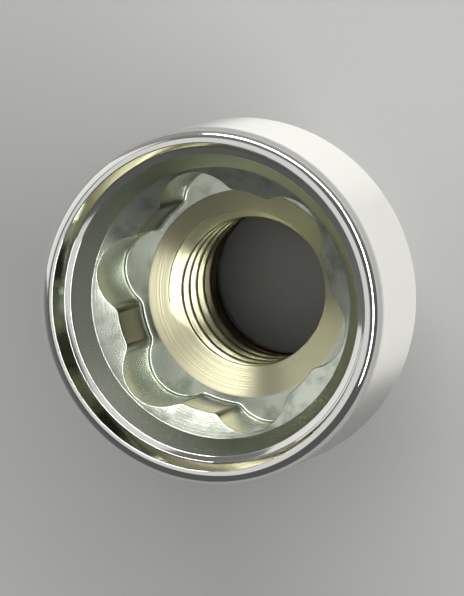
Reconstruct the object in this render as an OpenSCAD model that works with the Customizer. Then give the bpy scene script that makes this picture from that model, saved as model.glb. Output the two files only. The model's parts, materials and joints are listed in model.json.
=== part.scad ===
// Open-ended locking wheel nut, formed from one piece of steel.
// It stands on its seat end with the key end up. Millimetres, origin on the axis at the bottom.

/* [Body] */
// Outside diameter of the round body
body_d = 24.6; // [22.8:0.2:28]
// Height from the seat end to the key end
body_h = 18; // [16.6:0.2:32]
// Full angle of the cone that seats in the wheel
cone_angle = 60; // [54:2:90]
// Diameter of the flat face at the seat end
tip_d = 13.8; // [13.2:0.2:16]
// Radius of the round between the cone and the body
shoulder_r = 1.2; // [0.4:0.2:2]

/* [Rim] */
// Radius of the outer round of the rim
rim_r = 0.8; // [0.4:0.1:0.9]
// Width of the flat ring on top of the rim
rim_land = 0.2; // [0.1:0.1:0.3]
// Depth of the steep bevel inside the rim
lip_depth = 1.2; // [0.6:0.1:1.4]
// Width of the steep bevel, inwards from the flat ring
lip_width = 0.45; // [0.2:0.05:0.6]
// Width of the narrow shelf at the foot of the steep bevel
shelf_width = 0.4; // [0.2:0.1:0.6]
// How far the shelf falls inwards
shelf_drop = 0.1; // [0:0.1:0.3]
// Width of the mouth cone, inwards from the shelf
mouth_width = 1.05; // [0.8:0.05:1.3]
// Depth at which the mouth cone meets the ledge
ledge_depth = 2.7; // [2.2:0.1:3.6]
// How steeply the ledge leads in to the recess, in degrees below level
lead_angle = 25; // [10:1:40]

/* [Key recess] */
// Number of lobes round the recess
lobe_count = 6; // [4:1:8]
// Width of the ledge outside a lobe
lobe_gap = 0.2; // [0.1:0.1:0.5]
// How far a lobe stands out beyond the waist between the lobes
lobe_rise = 1.4; // [1:0.1:1.7]
// Radius of one lobe
lobe_r = 2.8; // [2:0.1:3]
// Radius of the rounded ridge edges where a lobe meets the waist
ridge_r = 0.8; // [0.3:0.1:1]
// Turn of the first lobe from the +X axis, in degrees
lobe_turn = 48; // [0:1:90]
// Depth of the recess floor under the rim
floor_depth = 8.4; // [6:0.1:9]

/* [Thread] */
// Diameter of the threaded hole at its crests
bore_d = 10.4; // [8.4:0.1:11.2]
// Width of the flat floor between the waist and the countersink
floor_width = 0.5; // [0.3:0.1:1.2]
// Depth of the countersink below the recess floor
sink_depth = 1; // [0.6:0.1:2]
// Size of the bevel on the hole at the seat end
entry_bevel = 0.9; // [0.4:0.1:0.9]

/* [Hidden] */
facets = 96;
// How far a cut runs past the faces it opens
over = 1;
// How far the rounded ridge edges run past their tangent points
ridge_lap = 0.005;

body_r = body_d / 2;
cone_half = cone_angle / 2;
cone_h = (body_r - tip_d / 2) / tan(cone_half);
shoulder_run = shoulder_r * tan(cone_half / 2);

rim_inner_r = body_r - rim_r - rim_land;
lip_slope = lip_width / lip_depth;
lip_r = rim_inner_r - lip_width;
lip_z = body_h - lip_depth;
shelf_r = lip_r - shelf_width;
shelf_z = lip_z - shelf_drop;
ledge_r = shelf_r - mouth_width;
ledge_z = body_h - ledge_depth;

lobe_reach = ledge_r - lobe_gap;
lobe_centre = lobe_reach - lobe_r;
waist_r = lobe_reach - lobe_rise;
lead_r = waist_r - over;
lead_z = ledge_z - (ledge_r - lead_r) * tan(lead_angle);

bore_r = bore_d / 2;
sink_r = waist_r - floor_width;
floor_z = body_h - floor_depth;
sink_z = floor_z - sink_depth;

// The round body with its cone, still without its recess and hole
module blank() {
    rotate_extrude($fn = facets) {
        polygon([
            [0, 0],
            [tip_d / 2, 0],
            [body_r - shoulder_run * sin(cone_half), cone_h - shoulder_run * cos(cone_half)],
            [body_r, cone_h + shoulder_run],
            [body_r, body_h - rim_r],
            [body_r - rim_r, body_h],
            [0, body_h]
        ]);
        translate([body_r - shoulder_r, cone_h + shoulder_run])
            circle(r = shoulder_r, $fn = facets);
        translate([body_r - rim_r, body_h - rim_r])
            circle(r = rim_r, $fn = facets);
    }
}

// The mouth inside the rim: a steep bevel, a narrow shelf, a cone and the ledge that leads in
module mouth_cut() {
    rotate_extrude($fn = facets)
        polygon([
            [0, lead_z],
            [lead_r, lead_z],
            [ledge_r, ledge_z],
            [shelf_r, shelf_z],
            [lip_r, lip_z],
            [rim_inner_r + over * lip_slope, body_h + over],
            [0, body_h + over]
        ]);
}

// The rounded ridge edge on one side of a lobe, which runs into the lobe and into the waist
module ridge_edge(side) {
    reach = waist_r + ridge_r - ridge_lap;
    away = lobe_r + ridge_r - ridge_lap;
    turn = acos((lobe_centre ^ 2 + reach ^ 2 - away ^ 2) / (2 * lobe_centre * reach));
    middle = [reach * cos(turn), side * reach * sin(turn)];
    difference() {
        polygon([[0, 0], [lobe_centre, 0], middle]);
        translate(middle)
            circle(r = ridge_r, $fn = facets);
    }
}

// The outline that the key enters: a round waist with lobes round it
module key_outline() {
    circle(r = waist_r, $fn = facets);
    for (i = [0 : lobe_count - 1])
        rotate(lobe_turn + i * 360 / lobe_count) {
            translate([lobe_centre, 0])
                circle(r = lobe_r, $fn = facets);
            for (side = [-1, 1])
                ridge_edge(side);
        }
}

// The lobed recess, from the mouth down to its flat floor
module key_cut() {
    translate([0, 0, floor_z])
        linear_extrude(ledge_z - floor_z + over)
            key_outline();
}

// The hole through the nut, with the countersink in the floor and the bevel at the seat end
module bore_cut() {
    translate([0, 0, -over])
        cylinder(r = bore_r, h = body_h + 2 * over, $fn = facets);
    rotate_extrude($fn = facets) {
        polygon([
            [0, -over],
            [bore_r + entry_bevel + over, -over],
            [bore_r, entry_bevel],
            [0, entry_bevel]
        ]);
        polygon([
            [0, sink_z],
            [bore_r, sink_z],
            [sink_r, floor_z],
            [sink_r, floor_z + over],
            [0, floor_z + over]
        ]);
    }
}

module nut_body() {
    color("silver")
        difference() {
            blank();
            mouth_cut();
            key_cut();
            bore_cut();
        }
}

nut_body();
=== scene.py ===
import json
import math

import bmesh
import bpy
from bpy.props import FloatProperty, IntProperty, PointerProperty, StringProperty
from mathutils import Matrix, Vector


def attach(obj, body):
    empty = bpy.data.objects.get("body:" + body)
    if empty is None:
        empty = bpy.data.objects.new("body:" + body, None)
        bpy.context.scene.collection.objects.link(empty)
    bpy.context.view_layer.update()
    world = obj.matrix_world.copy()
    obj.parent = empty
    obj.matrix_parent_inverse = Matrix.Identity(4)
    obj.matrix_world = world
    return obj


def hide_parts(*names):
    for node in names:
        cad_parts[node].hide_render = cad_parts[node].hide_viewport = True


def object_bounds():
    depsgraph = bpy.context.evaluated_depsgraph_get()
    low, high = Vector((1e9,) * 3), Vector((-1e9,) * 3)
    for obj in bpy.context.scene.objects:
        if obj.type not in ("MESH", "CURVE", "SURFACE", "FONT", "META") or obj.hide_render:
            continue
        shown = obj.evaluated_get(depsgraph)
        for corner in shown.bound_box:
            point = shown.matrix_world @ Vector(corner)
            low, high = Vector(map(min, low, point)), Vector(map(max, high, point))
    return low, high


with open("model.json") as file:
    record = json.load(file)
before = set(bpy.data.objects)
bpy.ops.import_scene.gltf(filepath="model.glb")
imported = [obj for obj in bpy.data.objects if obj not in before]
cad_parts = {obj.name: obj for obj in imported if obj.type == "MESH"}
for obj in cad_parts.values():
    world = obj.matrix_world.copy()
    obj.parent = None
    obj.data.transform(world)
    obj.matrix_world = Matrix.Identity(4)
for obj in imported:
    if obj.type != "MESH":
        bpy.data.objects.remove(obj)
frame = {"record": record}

bl_info = {
    "name": "Locking Wheel Nut",
    "version": (1, 0, 0),
    "blender": (4, 5, 0),
    "location": "View3D > Sidebar > Wheel Nut",
    "description": "Turns, broaches and threads a plated locking wheel nut and lights it",
    "category": "Add Mesh",
}

MM = 0.001
CAD_LOW, CAD_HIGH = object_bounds()
MOUNTS = {mount["name"]: mount for mount in frame["record"]["mounts"]}


class NutSizes(bpy.types.PropertyGroup):
    """Sizes of the nut."""

    body_d: FloatProperty(
        name="Body diameter", description="Outside diameter of the round body",
        default=CAD_HIGH.x - CAD_LOW.x, unit="LENGTH", subtype="DISTANCE")
    body_h: FloatProperty(
        name="Body height", description="Height from the seat end to the key end",
        default=CAD_HIGH.z, unit="LENGTH", subtype="DISTANCE")
    cone_angle: FloatProperty(
        name="Cone angle", description="Full angle of the cone that seats in the wheel",
        default=math.radians(60), unit="ROTATION", subtype="ANGLE")
    tip_d: FloatProperty(
        name="Tip diameter", description="Diameter of the flat face at the seat end",
        default=13.8 * MM, unit="LENGTH", subtype="DISTANCE")
    shoulder_r: FloatProperty(
        name="Shoulder round", description="Radius of the round between the cone and the body",
        default=1.2 * MM, unit="LENGTH", subtype="DISTANCE")
    rim_r: FloatProperty(
        name="Rim round", description="Radius of the outer round of the rim",
        default=0.8 * MM, unit="LENGTH", subtype="DISTANCE")
    rim_land: FloatProperty(
        name="Rim land", description="Width of the flat ring on top of the rim",
        default=0.2 * MM, unit="LENGTH", subtype="DISTANCE")
    lip_depth: FloatProperty(
        name="Lip depth", description="Depth of the steep bevel inside the rim",
        default=1.2 * MM, unit="LENGTH", subtype="DISTANCE")
    lip_width: FloatProperty(
        name="Lip width", description="Width of the steep bevel, inwards from the flat ring",
        default=0.45 * MM, unit="LENGTH", subtype="DISTANCE")
    shelf_width: FloatProperty(
        name="Shelf width", description="Width of the narrow shelf at the foot of the steep bevel",
        default=0.4 * MM, unit="LENGTH", subtype="DISTANCE")
    shelf_drop: FloatProperty(
        name="Shelf drop", description="How far the shelf falls inwards",
        default=0.1 * MM, unit="LENGTH", subtype="DISTANCE")
    ledge_depth: FloatProperty(
        name="Ledge depth", description="Depth at which the mouth cone meets the ledge",
        default=2.7 * MM, unit="LENGTH", subtype="DISTANCE")
    ledge_d: FloatProperty(
        name="Ledge diameter", description="Diameter of the ledge at the foot of the mouth cone",
        default=18.8 * MM, unit="LENGTH", subtype="DISTANCE")
    lead_angle: FloatProperty(
        name="Lead angle", description="How steeply the ledge leads in to the recess",
        default=math.radians(25), unit="ROTATION", subtype="ANGLE")
    floor_depth: FloatProperty(
        name="Floor depth", description="Depth of the recess floor under the rim",
        default=8.4 * MM, unit="LENGTH", subtype="DISTANCE")
    lobe_count: IntProperty(
        name="Lobes", description="Number of lobes round the recess", default=6)
    lobe_reach: FloatProperty(
        name="Lobe reach", description="Distance from the axis to the outside of a lobe",
        default=9.2 * MM, unit="LENGTH", subtype="DISTANCE")
    lobe_r: FloatProperty(
        name="Lobe radius", description="Radius of one lobe",
        default=2.8 * MM, unit="LENGTH", subtype="DISTANCE")
    waist_r: FloatProperty(
        name="Waist radius", description="Radius of the recess between the lobes",
        default=7.8 * MM, unit="LENGTH", subtype="DISTANCE")
    ridge_r: FloatProperty(
        name="Ridge round", description="Radius of the round where a lobe meets the waist",
        default=0.8 * MM, unit="LENGTH", subtype="DISTANCE")
    lobe_turn: FloatProperty(
        name="Lobe turn", description="Turn of the first lobe from the X axis",
        default=math.radians(48), unit="ROTATION", subtype="ANGLE")
    sink_d: FloatProperty(
        name="Countersink diameter", description="Diameter of the countersink in the recess floor",
        default=14.6 * MM, unit="LENGTH", subtype="DISTANCE")
    sink_depth: FloatProperty(
        name="Countersink depth", description="Depth of the countersink below the floor",
        default=1.0 * MM, unit="LENGTH", subtype="DISTANCE")
    entry_bevel: FloatProperty(
        name="Entry bevel", description="Size of the bevel on the hole at the seat end",
        default=0.9 * MM, unit="LENGTH", subtype="DISTANCE")
    crest_r: FloatProperty(
        name="Thread crest radius", description="Radius of the hole at the thread's crests",
        default=MOUNTS["thread"]["dims"]["r_mm"] * MM, unit="LENGTH", subtype="DISTANCE")
    root_r: FloatProperty(
        name="Thread root radius", description="Radius of the thread's roots",
        default=6.0 * MM, unit="LENGTH", subtype="DISTANCE")
    pitch: FloatProperty(
        name="Thread pitch", description="Distance from one turn of the thread to the next",
        default=1.5 * MM, unit="LENGTH", subtype="DISTANCE")


class NutFinish(bpy.types.PropertyGroup):
    """Colours of the nut and the studio."""

    chrome: StringProperty(
        name="Chrome", description="Colour of the bright plating outside", default="#E2E1DC")
    mouth_plate: StringProperty(
        name="Mouth plating", description="Colour of the cone inside the rim", default="#B0B5A6")
    thin_plate: StringProperty(
        name="Thin plating", description="Colour of the thin plating in the recess", default="#C2C7BB")
    stained_plate: StringProperty(
        name="Stained plating", description="Colour of the cloudy patches in the recess", default="#989E8E")
    # Painted light: the upright lobe walls are painted lighter than the recess plating
    painted_light_lobe: StringProperty(
        name="Painted light lobe", description="Colour of the upright walls of the lobes", default="#D2D9C8")
    # Painted shade: the upright walls between the lobes are painted dark
    painted_shade_waist: StringProperty(
        name="Painted shade waist", description="Colour of the upright walls between the lobes", default="#6A6D61")
    bare_steel: StringProperty(
        name="Machined seat", description="Colour of the countersink and the first turns", default="#C6C2A2")
    # Painted shade: the thread deeper in the hole is painted dark
    painted_shade_thread: StringProperty(
        name="Painted shade thread", description="Colour of the thread deeper down", default="#3C3127")
    floor: StringProperty(
        name="Floor", description="Colour of the studio floor", default="#A8A8A6")
    air: StringProperty(
        name="Air", description="Colour of the light from all round the studio", default="#F4F5F6")


def linear(hex_colour):
    """The linear colour of an sRGB hex value, with full alpha."""
    parts = [int(hex_colour[i:i + 2], 16) / 255 for i in (1, 3, 5)]
    return tuple(c / 12.92 if c <= 0.04045 else ((c + 0.055) / 1.055) ** 2.4 for c in parts) + (1.0,)


def add_node(owner, kind, settings=None, inputs=None, links=None):
    """Adds a node to a material or a world, with its properties, its input values and its links."""
    node = owner.node_tree.nodes.new(kind)
    for name, value in (settings or {}).items():
        setattr(node, name, value)
    for name, value in (inputs or {}).items():
        node.inputs[name].default_value = value
    for name, socket in (links or {}).items():
        owner.node_tree.links.new(socket, node.inputs[name])
    return node


def new_material(name):
    """A material without any node yet."""
    material = bpy.data.materials.new(name)
    material.use_nodes = True
    material.node_tree.nodes.clear()
    return material


def arc_stations(centre, radius, start, end, steps):
    """Stations along an arc after its start, as (point, outward normal).

    A negative radius makes the arc of a ridge, which curves the other way and keeps its normals.
    """
    stations = []
    for i in range(1, steps + 1):
        angle = start + (end - start) * i / steps
        normal = Vector((math.cos(angle), math.sin(angle)))
        stations.append((centre + normal * radius, normal))
    return stations


def lobe_stations(s):
    """Stations round the key outline, at even steps along each of its arcs."""
    lobe_steps, ridge_steps, waist_steps = 14, 8, 6
    axis = Vector((0, 0))
    centre = Vector((s.lobe_reach - s.lobe_r, 0))
    reach, away = s.waist_r + s.ridge_r, s.lobe_r + s.ridge_r
    turn = math.acos((centre.x ** 2 + reach ** 2 - away ** 2) / (2 * centre.x * reach))
    ridge = Vector((math.cos(turn), math.sin(turn))) * reach
    lobe_end = math.atan2(ridge.y, ridge.x - centre.x)
    half = [(Vector((s.lobe_reach, 0)), Vector((1, 0)))]
    half += arc_stations(centre, s.lobe_r, 0, lobe_end, lobe_steps)
    half += arc_stations(ridge, -s.ridge_r, lobe_end, turn, ridge_steps)
    half += arc_stations(axis, s.waist_r, turn, math.pi / s.lobe_count, waist_steps)
    mirrored = [(Vector((p.x, -p.y)), Vector((n.x, -n.y))) for p, n in half[-2:0:-1]]
    stations = []
    for k in range(s.lobe_count):
        matrix = Matrix.Rotation(s.lobe_turn + k * 2 * math.pi / s.lobe_count, 2)
        stations += [(matrix @ p, matrix @ n) for p, n in mirrored + half]
    return stations


def rounded(corners):
    """The closed section through corners of (radius, height, round), with an arc for each round."""
    small_round, small_steps, large_steps = 0.5 * MM, 4, 16
    points = []
    for i, (x, z, r) in enumerate(corners):
        corner = Vector((x, z))
        before = (Vector(corners[i - 1][:2]) - corner).normalized()
        after = (Vector(corners[(i + 1) % len(corners)][:2]) - corner).normalized()
        half = before.angle(after) / 2
        centre = corner + (before + after).normalized() * (r / math.sin(half))
        start = corner + before * (r / math.tan(half)) - centre
        end = corner + after * (r / math.tan(half)) - centre
        sweep = start.angle_signed(end)
        steps = small_steps if r < small_round else large_steps
        for k in range(steps + 1):
            points.append(centre + Matrix.Rotation(-sweep * k / steps, 2) @ start)
    return points


def select_only(obj):
    """Leaves obj alone selected and active."""
    bpy.ops.object.select_all(action="DESELECT")
    obj.select_set(True)
    bpy.context.view_layer.objects.active = obj


def draw_section(points):
    """Draws a closed chain of edges in the XZ plane, point by point, and leaves it in edit mode."""
    first = points[0]
    bpy.ops.object.select_all(action="DESELECT")
    bpy.ops.mesh.primitive_plane_add(size=MM, location=(first.x, 0, first.y))
    obj = bpy.context.object
    bpy.ops.object.transform_apply(location=True, rotation=False, scale=False)
    bpy.ops.object.mode_set(mode="EDIT")
    bpy.ops.mesh.select_mode(type="VERT")
    bpy.ops.mesh.select_all(action="SELECT")
    bpy.ops.mesh.merge(type="CENTER")
    for here, there in zip(points, points[1:]):
        step = (there.x - here.x, 0, there.y - here.y)
        bpy.ops.mesh.extrude_region_move(TRANSFORM_OT_translate={"value": step})
    bpy.ops.mesh.select_all(action="DESELECT")
    drawn = bmesh.from_edit_mesh(obj.data)
    for vert in drawn.verts:
        vert.select = len(vert.link_edges) == 1
    drawn.select_flush(True)
    bmesh.update_edit_mesh(obj.data)
    bpy.ops.mesh.edge_face_add()
    return obj


def thread_radius(s, height, angle):
    """Radius of the thread's surface: 60 degree flanks between flat crests and roots, right-handed."""
    turns = height / s.pitch - angle / (2 * math.pi)
    off_root = abs(turns - math.floor(turns) - 0.5) * s.pitch
    half_root = s.pitch / 16
    flank = s.root_r - (off_root - half_root) / math.tan(math.radians(30))
    return min(max(flank, s.crest_r), s.root_r)


class WHEELNUT_OT_nut(bpy.types.Operator):
    """Turn the nut's section, broach its lobed recess and cut its thread"""

    bl_idname = "wheelnut.nut"
    bl_label = "Nut"

    def execute(self, context):
        s = context.scene.nut_sizes
        ledge_z, floor_z = s.body_h - s.ledge_depth, s.body_h - s.floor_depth
        section = self.with_thread_rings(rounded(self.corners(s, ledge_z, floor_z)), s, floor_z)
        stations = lobe_stations(s)
        nut = draw_section(section)
        nut.name = nut.data.name = "nut"
        self.turn(len(stations))
        self.broach_and_thread(nut, s, stations, ledge_z, floor_z)
        bpy.ops.object.mode_set(mode="OBJECT")
        select_only(nut)
        bpy.ops.object.shade_smooth()
        bpy.ops.object.modifier_add(type="WEIGHTED_NORMAL")
        nut.modifiers[-1].keep_sharp = True
        bpy.ops.object.modifier_apply(modifier=nut.modifiers[-1].name)
        nut.data.materials.append(plated_steel(context.scene.nut_finish, s))
        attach(nut, "root")
        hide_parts("nut_body")
        return {"FINISHED"}

    def corners(self, s, ledge_z, floor_z):
        """The corners of the turned section, from the seat end up the outside and down the inside."""
        edge = 0.1 * MM
        body_r, ledge_r = s.body_d / 2, s.ledge_d / 2
        cone_h = (body_r - s.tip_d / 2) / math.tan(s.cone_angle / 2)
        rim_r = body_r - s.rim_r - s.rim_land
        lip_r, lip_z = rim_r - s.lip_width, s.body_h - s.lip_depth
        return [
            (s.crest_r + s.entry_bevel, 0, edge),
            (s.tip_d / 2, 0, 2 * edge),
            (body_r, cone_h, s.shoulder_r),
            (body_r, s.body_h, s.rim_r),
            (rim_r, s.body_h, edge),
            (lip_r, lip_z, edge),
            (lip_r - s.shelf_width, lip_z - s.shelf_drop, 1.5 * edge),
            (ledge_r, ledge_z, edge),
            (s.waist_r, ledge_z - (ledge_r - s.waist_r) * math.tan(s.lead_angle), edge),
            (s.waist_r, floor_z, 2 * edge),
            (s.sink_d / 2, floor_z, edge),
            (s.crest_r, floor_z - s.sink_depth, edge),
            (s.crest_r, s.entry_bevel, edge),
        ]

    def with_thread_rings(self, section, s, floor_z):
        """Adds a point every twentieth of a pitch to the straight stretches of the hole."""
        step = s.pitch / 20
        closed = section + section[:1]
        result = []
        for here, there in zip(closed, closed[1:]):
            result.append(here)
            in_hole = max(here.x, there.x) < s.sink_d / 2 and max(here.y, there.y) < floor_z
            count = round((there - here).length / step) if in_hole and here.y > there.y else 1
            result += [here.lerp(there, k / count) for k in range(1, count)]
        return result

    def turn(self, steps):
        """Spins the section once round the axis and closes the seam."""
        bpy.ops.mesh.select_all(action="SELECT")
        bpy.ops.mesh.spin(steps=steps, angle=2 * math.pi, center=(0, 0, 0), axis=(0, 0, 1))
        bpy.ops.mesh.select_all(action="SELECT")
        bpy.ops.mesh.remove_doubles(threshold=0.002 * MM)
        bpy.ops.mesh.normals_make_consistent(inside=False)

    def broach_and_thread(self, nut, s, stations, ledge_z, floor_z):
        """Moves the turned rings onto the lobed outline and onto the thread."""
        turned = bmesh.from_edit_mesh(nut.data)
        count = len(stations)
        angles = [math.atan2(point.y, point.x) for point, normal in stations]
        start = min(range(count), key=lambda i: angles[i] % (2 * math.pi))
        slack = 0.15 * MM
        for vert in turned.verts:
            radius = math.hypot(vert.co.x, vert.co.y)
            index = round(math.atan2(vert.co.y, vert.co.x) / (2 * math.pi) * count)
            station = (start + index) % count
            point, normal = stations[station]
            in_recess = floor_z - slack < vert.co.z < ledge_z
            on_wall = s.sink_d / 2 + slack < radius < s.waist_r + slack
            if in_recess and on_wall:
                place = point + normal * (radius - s.waist_r)
                if vert.co.z > (floor_z + ledge_z) / 2:
                    vert.co.z += (point.length - s.waist_r) * math.tan(s.lead_angle)
            else:
                if vert.co.z < floor_z and radius < s.root_r:
                    radius = max(radius, thread_radius(s, vert.co.z, angles[station]))
                place = point.normalized() * radius
            vert.co.xy = place
        bmesh.update_edit_mesh(nut.data)


def ramp(material, socket, low, high):
    """0 where the value is low and 1 where it is high, with a smooth step between them."""
    return add_node(material, "ShaderNodeMapRange", {"interpolation_type": "SMOOTHSTEP"}, {
        "From Min": low, "From Max": high}, {"Value": socket}).outputs["Result"]


def fade(material, socket, edge, start, end):
    """0 at start and 1 at end, which are millimetres past an edge of the form."""
    return ramp(material, socket, edge + start * MM, edge + end * MM)


def both(material, first, second):
    """The part where both masks are 1."""
    return add_node(material, "ShaderNodeMath", {"operation": "MULTIPLY"}, links={
        0: first, 1: second}).outputs["Value"]


def blend(material, mask, under, over):
    """The colour or number over, where the mask is 1, laid on under."""
    colour = isinstance(over, tuple)
    mix = add_node(material, "ShaderNodeMix", {"data_type": "RGBA" if colour else "FLOAT"}, links={
        "Factor": mask})
    kind = "RGBA" if colour else "VALUE"
    sockets = {i.name: i for i in mix.inputs if i.type == kind and i.name in {"A", "B"}}
    for name, value in (("A", under), ("B", over)):
        if isinstance(value, bpy.types.NodeSocket):
            material.node_tree.links.new(value, sockets[name])
        else:
            sockets[name].default_value = value
    return next(o for o in mix.outputs if o.type == kind)


def finish_masks(material, s, height, radius, across, normal):
    """A mask for each surface that has a finish of its own, by name."""
    ledge_r, sink_r = s.ledge_d / 2, s.sink_d / 2
    floor_z = s.body_h - s.floor_depth
    sink_z = floor_z - s.sink_depth
    above_floor = fade(material, height, floor_z, -0.3, -0.1)
    lean = add_node(material, "ShaderNodeSeparateXYZ", links={"Vector": normal}).outputs["Z"]
    outward = add_node(material, "ShaderNodeVectorMath", {"operation": "DOT_PRODUCT"}, links={
        0: normal, 1: across}).outputs["Value"]
    masks = {}
    # The outside of the body, below the round of the rim
    masks["wall"] = both(material, fade(material, radius, s.body_d / 2, -0.2, -0.02),
                         fade(material, height, s.body_h, -0.7, -1.5))
    # The cone inside the rim, and all that lies further in and above the floor
    masks["mouth"] = both(material, above_floor, fade(material, radius, ledge_r, 1.1, 0.9))
    # The ledge, the lobes and the floor
    masks["recess"] = both(material, above_floor, fade(material, radius, ledge_r, 0.1, -0.05))
    # The recess's upright walls, painted lighter as painted light, and the part of them between the lobes,
    # painted dark as painted shade
    masks["upright"] = both(material, masks["recess"], ramp(material, lean, 0.6, 0.2))
    masks["waist"] = both(material, masks["upright"], fade(material, radius, s.waist_r, 0.5, 0.1))
    # The countersink and the thread, which face the axis, and the thread deeper down, which is painted dark
    # as painted shade
    masks["hole"] = both(material, fade(material, outward, 0, 0.2, -0.2),
                         fade(material, radius, sink_r, 0.05, -0.15))
    masks["deep"] = both(material, masks["hole"], fade(material, height, sink_z, -4.0, -7.0))
    return masks


def plated_steel(finish, s):
    """Bright nickel and chromium plate on forged and turned steel.

    The plate is mirror-bright outside, where the bath reaches, and the turned wall under it adds a
    haze that spreads the light along the axis into a white crescent. In the key recess the plate is
    thin, a little dull and green-grey, with cloudy stains; its upright lobe walls are painted lighter as
    painted light, and the walls between the lobes are painted dark as painted shade. The machined
    countersink and the first turns show cream steel with fine rings, and the thread deeper down is painted
    dark as painted shade.
    """
    mirror_rough, dull_rough, cut_rough, haze_rough = 0.07, 0.26, 0.30, 0.5
    cut_spread, haze_spread, haze_share = 0.6, 1.0, 0.8
    stain_size, ring_gap, ring_height = 2.2 * MM, 0.12 * MM, 0.01 * MM
    faint_rings = 0.4

    material = new_material("nickel_chrome_plated_turned_steel")
    coords = add_node(material, "ShaderNodeTexCoord").outputs["Object"]
    split = add_node(material, "ShaderNodeSeparateXYZ", links={"Vector": coords})
    height = split.outputs["Z"]
    across = add_node(material, "ShaderNodeCombineXYZ", links={
        "X": split.outputs["X"], "Y": split.outputs["Y"]}).outputs["Vector"]
    radius = add_node(material, "ShaderNodeVectorMath", {"operation": "LENGTH"}, links={
        "Vector": across}).outputs["Value"]
    normal = add_node(material, "ShaderNodeNewGeometry").outputs["Normal"]
    masks = finish_masks(material, s, height, radius, across, normal)

    cloud = add_node(material, "ShaderNodeTexNoise", inputs={
        "Scale": 1 / stain_size, "Detail": 4.0, "Roughness": 0.6}, links={"Vector": coords})
    stain = both(material, masks["recess"], ramp(material, cloud.outputs["Fac"], 0.42, 0.68))
    ring_place = add_node(material, "ShaderNodeCombineXYZ", links={"X": radius, "Y": height})
    rings = add_node(material, "ShaderNodeTexNoise", inputs={
        "Scale": 1 / ring_gap, "Detail": 2.0}, links={"Vector": ring_place.outputs["Vector"]})
    ring_bump = add_node(material, "ShaderNodeBump", inputs={"Distance": ring_height}, links={
        "Height": rings.outputs["Fac"],
        "Strength": blend(material, masks["mouth"], masks["hole"], faint_rings)})
    around = add_node(material, "ShaderNodeVectorMath", {"operation": "CROSS_PRODUCT"}, {
        0: (0, 0, 1)}, {1: across}).outputs["Vector"]
    along = add_node(material, "ShaderNodeVectorMath", {"operation": "CROSS_PRODUCT"}, links={
        0: normal, 1: around}).outputs["Vector"]

    colour = blend(material, masks["mouth"], linear(finish.chrome), linear(finish.mouth_plate))
    colour = blend(material, masks["recess"], colour, linear(finish.thin_plate))
    colour = blend(material, stain, colour, linear(finish.stained_plate))
    # Painted light: the upright lobe walls are painted lighter
    colour = blend(material, masks["upright"], colour, linear(finish.painted_light_lobe))
    # Painted shade: the walls between the lobes are painted dark
    colour = blend(material, masks["waist"], colour, linear(finish.painted_shade_waist))
    colour = blend(material, masks["hole"], colour, linear(finish.bare_steel))
    # Painted shade: the thread deeper in the hole is painted dark
    colour = blend(material, masks["deep"], colour, linear(finish.painted_shade_thread))
    roughness = blend(material, masks["mouth"], mirror_rough, dull_rough)
    roughness = blend(material, masks["hole"], roughness, cut_rough)
    spread = blend(material, masks["hole"], 0.0, cut_spread)
    plate = add_node(material, "ShaderNodeBsdfPrincipled", inputs={"Metallic": 1.0}, links={
        "Base Color": colour, "Roughness": roughness, "Anisotropic": spread, "Tangent": along,
        "Normal": ring_bump.outputs["Normal"]})
    haze = add_node(material, "ShaderNodeBsdfPrincipled", inputs={
        "Base Color": linear(finish.chrome), "Metallic": 1.0, "Roughness": haze_rough,
        "Anisotropic": haze_spread}, links={"Tangent": along})
    share = add_node(material, "ShaderNodeMath", {"operation": "MULTIPLY"}, {1: haze_share}, {
        0: masks["wall"]})
    surface = add_node(material, "ShaderNodeMixShader", links={
        0: share.outputs["Value"], 1: plate.outputs["BSDF"], 2: haze.outputs["BSDF"]})
    add_node(material, "ShaderNodeOutputMaterial", links={"Surface": surface.outputs["Shader"]})
    return material


def floor_paint(finish):
    """Matt emulsion on a smooth board, which gives a pale even ground with a soft shadow."""
    paint_rough, grain_size, grain_height, faint_grain = 0.7, 0.8 * MM, 0.1 * MM, 0.05
    material = new_material("matt_emulsion")
    coords = add_node(material, "ShaderNodeTexCoord").outputs["Object"]
    grain = add_node(material, "ShaderNodeTexNoise", inputs={
        "Scale": 1 / grain_size, "Detail": 2.0}, links={"Vector": coords})
    bump = add_node(material, "ShaderNodeBump", inputs={
        "Strength": faint_grain, "Distance": grain_height}, links={"Height": grain.outputs["Fac"]})
    paint = add_node(material, "ShaderNodeBsdfPrincipled", inputs={
        "Base Color": linear(finish.floor), "Roughness": paint_rough}, links={
        "Normal": bump.outputs["Normal"]})
    add_node(material, "ShaderNodeOutputMaterial", links={"Surface": paint.outputs["BSDF"]})
    return material


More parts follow.
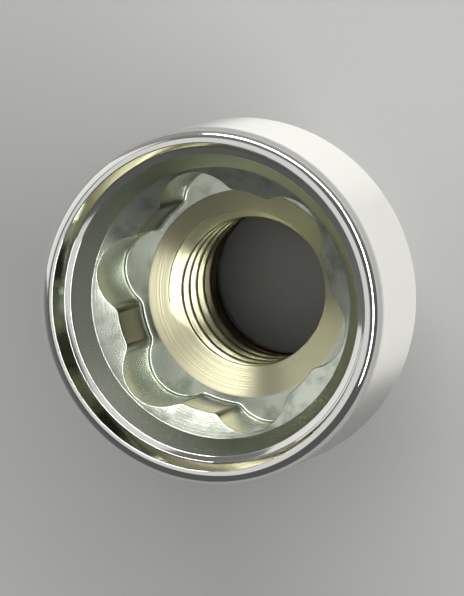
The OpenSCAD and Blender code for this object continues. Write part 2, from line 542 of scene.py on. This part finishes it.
class WHEELNUT_OT_stage(bpy.types.Operator):
    """Add the floor, the lamps and the camera"""

    bl_idname = "wheelnut.stage"
    bl_label = "Studio"

    def execute(self, context):
        scene = context.scene
        self.add_floor(scene.nut_finish)
        self.add_world(scene)
        aim = Vector((0, 0, scene.nut_sizes.body_h / 2))
        self.add_lamp("strip_right", aim, azimuth=2, elevation=42, size=(0.56, 0.06), power=1.75)
        self.add_lamp("strip_top", aim, azimuth=79, elevation=36, size=(0.52, 0.06), power=1.85)
        self.add_lamp("soft_box_left", aim, azimuth=164, elevation=30, size=(0.30, 0.40), power=0.27)
        self.add_lamp("soft_box_over", aim, azimuth=202, elevation=82, size=(0.40, 0.30), power=0.26)
        self.add_camera(scene)
        scene.view_settings.view_transform = "Standard"
        return {"FINISHED"}

    def add_floor(self, finish):
        """A painted board one metre square, which the nut stands on."""
        bpy.ops.object.select_all(action="DESELECT")
        bpy.ops.mesh.primitive_plane_add(size=1.0, location=(0, 0, 0))
        floor = bpy.context.object
        floor.name = "studio_floor"
        floor.data.materials.append(floor_paint(finish))

    def add_world(self, scene):
        """Pale air that is brighter low down at the top left of the picture, and dim at the right."""
        bright_side = (-0.35, 0.7, -0.62)
        dim, bright = 0.12, 0.4
        world = bpy.data.worlds.new("studio_air")
        world.use_nodes = True
        world.node_tree.nodes.clear()
        coords = add_node(world, "ShaderNodeTexCoord").outputs["Generated"]
        toward = add_node(world, "ShaderNodeVectorMath", {"operation": "DOT_PRODUCT"}, {
            1: bright_side}, {0: coords}).outputs["Value"]
        level = add_node(world, "ShaderNodeMapRange", {"interpolation_type": "SMOOTHSTEP"}, {
            "From Min": -0.65, "From Max": 0.7, "To Min": dim, "To Max": bright}, {"Value": toward})
        background = add_node(world, "ShaderNodeBackground", inputs={
            "Color": linear(scene.nut_finish.air)}, links={"Strength": level.outputs["Result"]})
        add_node(world, "ShaderNodeOutputWorld", links={"Surface": background.outputs["Background"]})
        scene.world = world

    def add_lamp(self, name, aim, azimuth, elevation, size, power):
        """Adds a rectangular lamp, its size in metres and its power in watts, that faces the nut."""
        distance = 0.45
        turn, lift = math.radians(azimuth), math.radians(elevation)
        away = Vector((math.cos(lift) * math.cos(turn), math.cos(lift) * math.sin(turn), math.sin(lift)))
        bpy.ops.object.light_add(type="AREA", location=aim + away * distance)
        light = bpy.context.object
        light.name = light.data.name = name
        light.data.shape = "RECTANGLE"
        light.data.size, light.data.size_y = size
        light.data.energy = power
        light.rotation_euler = away.to_track_quat("Z", "Y").to_euler()

    def add_camera(self, scene):
        """The photograph looks into the key end from its right and a little above."""
        yaw, pitch, roll = math.radians(19), math.radians(7.5), math.radians(1.5)
        distance, frame_height = 0.43, 0.041
        sight = Vector((math.sin(yaw) * math.cos(pitch), math.sin(pitch), math.cos(yaw) * math.cos(pitch)))
        aim = Vector((0.0006, 0.0003, 0.0145))
        right = Vector((0, 1, 0)).cross(sight).normalized()
        axes = Matrix((right, sight.cross(right), sight)).transposed()
        data = bpy.data.cameras.new("camera")
        camera = bpy.data.objects.new("camera", data)
        scene.collection.objects.link(camera)
        camera.matrix_world = Matrix.Translation(aim + sight * distance) @ (
            axes @ Matrix.Rotation(roll, 3, "Z")).to_4x4()
        data.sensor_fit = "VERTICAL"
        data.sensor_height = 24.0
        data.lens = data.sensor_height * distance / frame_height
        data.clip_start = 0.01
        scene.camera = camera


class WHEELNUT_PT_panel(bpy.types.Panel):
    """Sidebar panel with the nut's sizes, colours and operators"""

    bl_idname = "WHEELNUT_PT_panel"
    bl_label = "Locking Wheel Nut"
    bl_space_type = "VIEW_3D"
    bl_region_type = "UI"
    bl_category = "Wheel Nut"

    def draw(self, context):
        layout = self.layout
        for group in (context.scene.nut_sizes, context.scene.nut_finish):
            for name in group.bl_rna.properties.keys():
                if name not in {"rna_type", "name"}:
                    layout.prop(group, name)
        layout.operator(WHEELNUT_OT_nut.bl_idname)
        layout.operator(WHEELNUT_OT_stage.bl_idname)


CLASSES = (NutSizes, NutFinish, WHEELNUT_OT_nut, WHEELNUT_OT_stage, WHEELNUT_PT_panel)


def register():
    for cls in CLASSES:
        bpy.utils.register_class(cls)
    bpy.types.Scene.nut_sizes = PointerProperty(type=NutSizes)
    bpy.types.Scene.nut_finish = PointerProperty(type=NutFinish)


def unregister():
    del bpy.types.Scene.nut_finish
    del bpy.types.Scene.nut_sizes
    for cls in reversed(CLASSES):
        bpy.utils.unregister_class(cls)


def main():
    register()
    bpy.ops.wheelnut.nut()
    bpy.ops.wheelnut.stage()


if __name__ == "__main__":
    main()
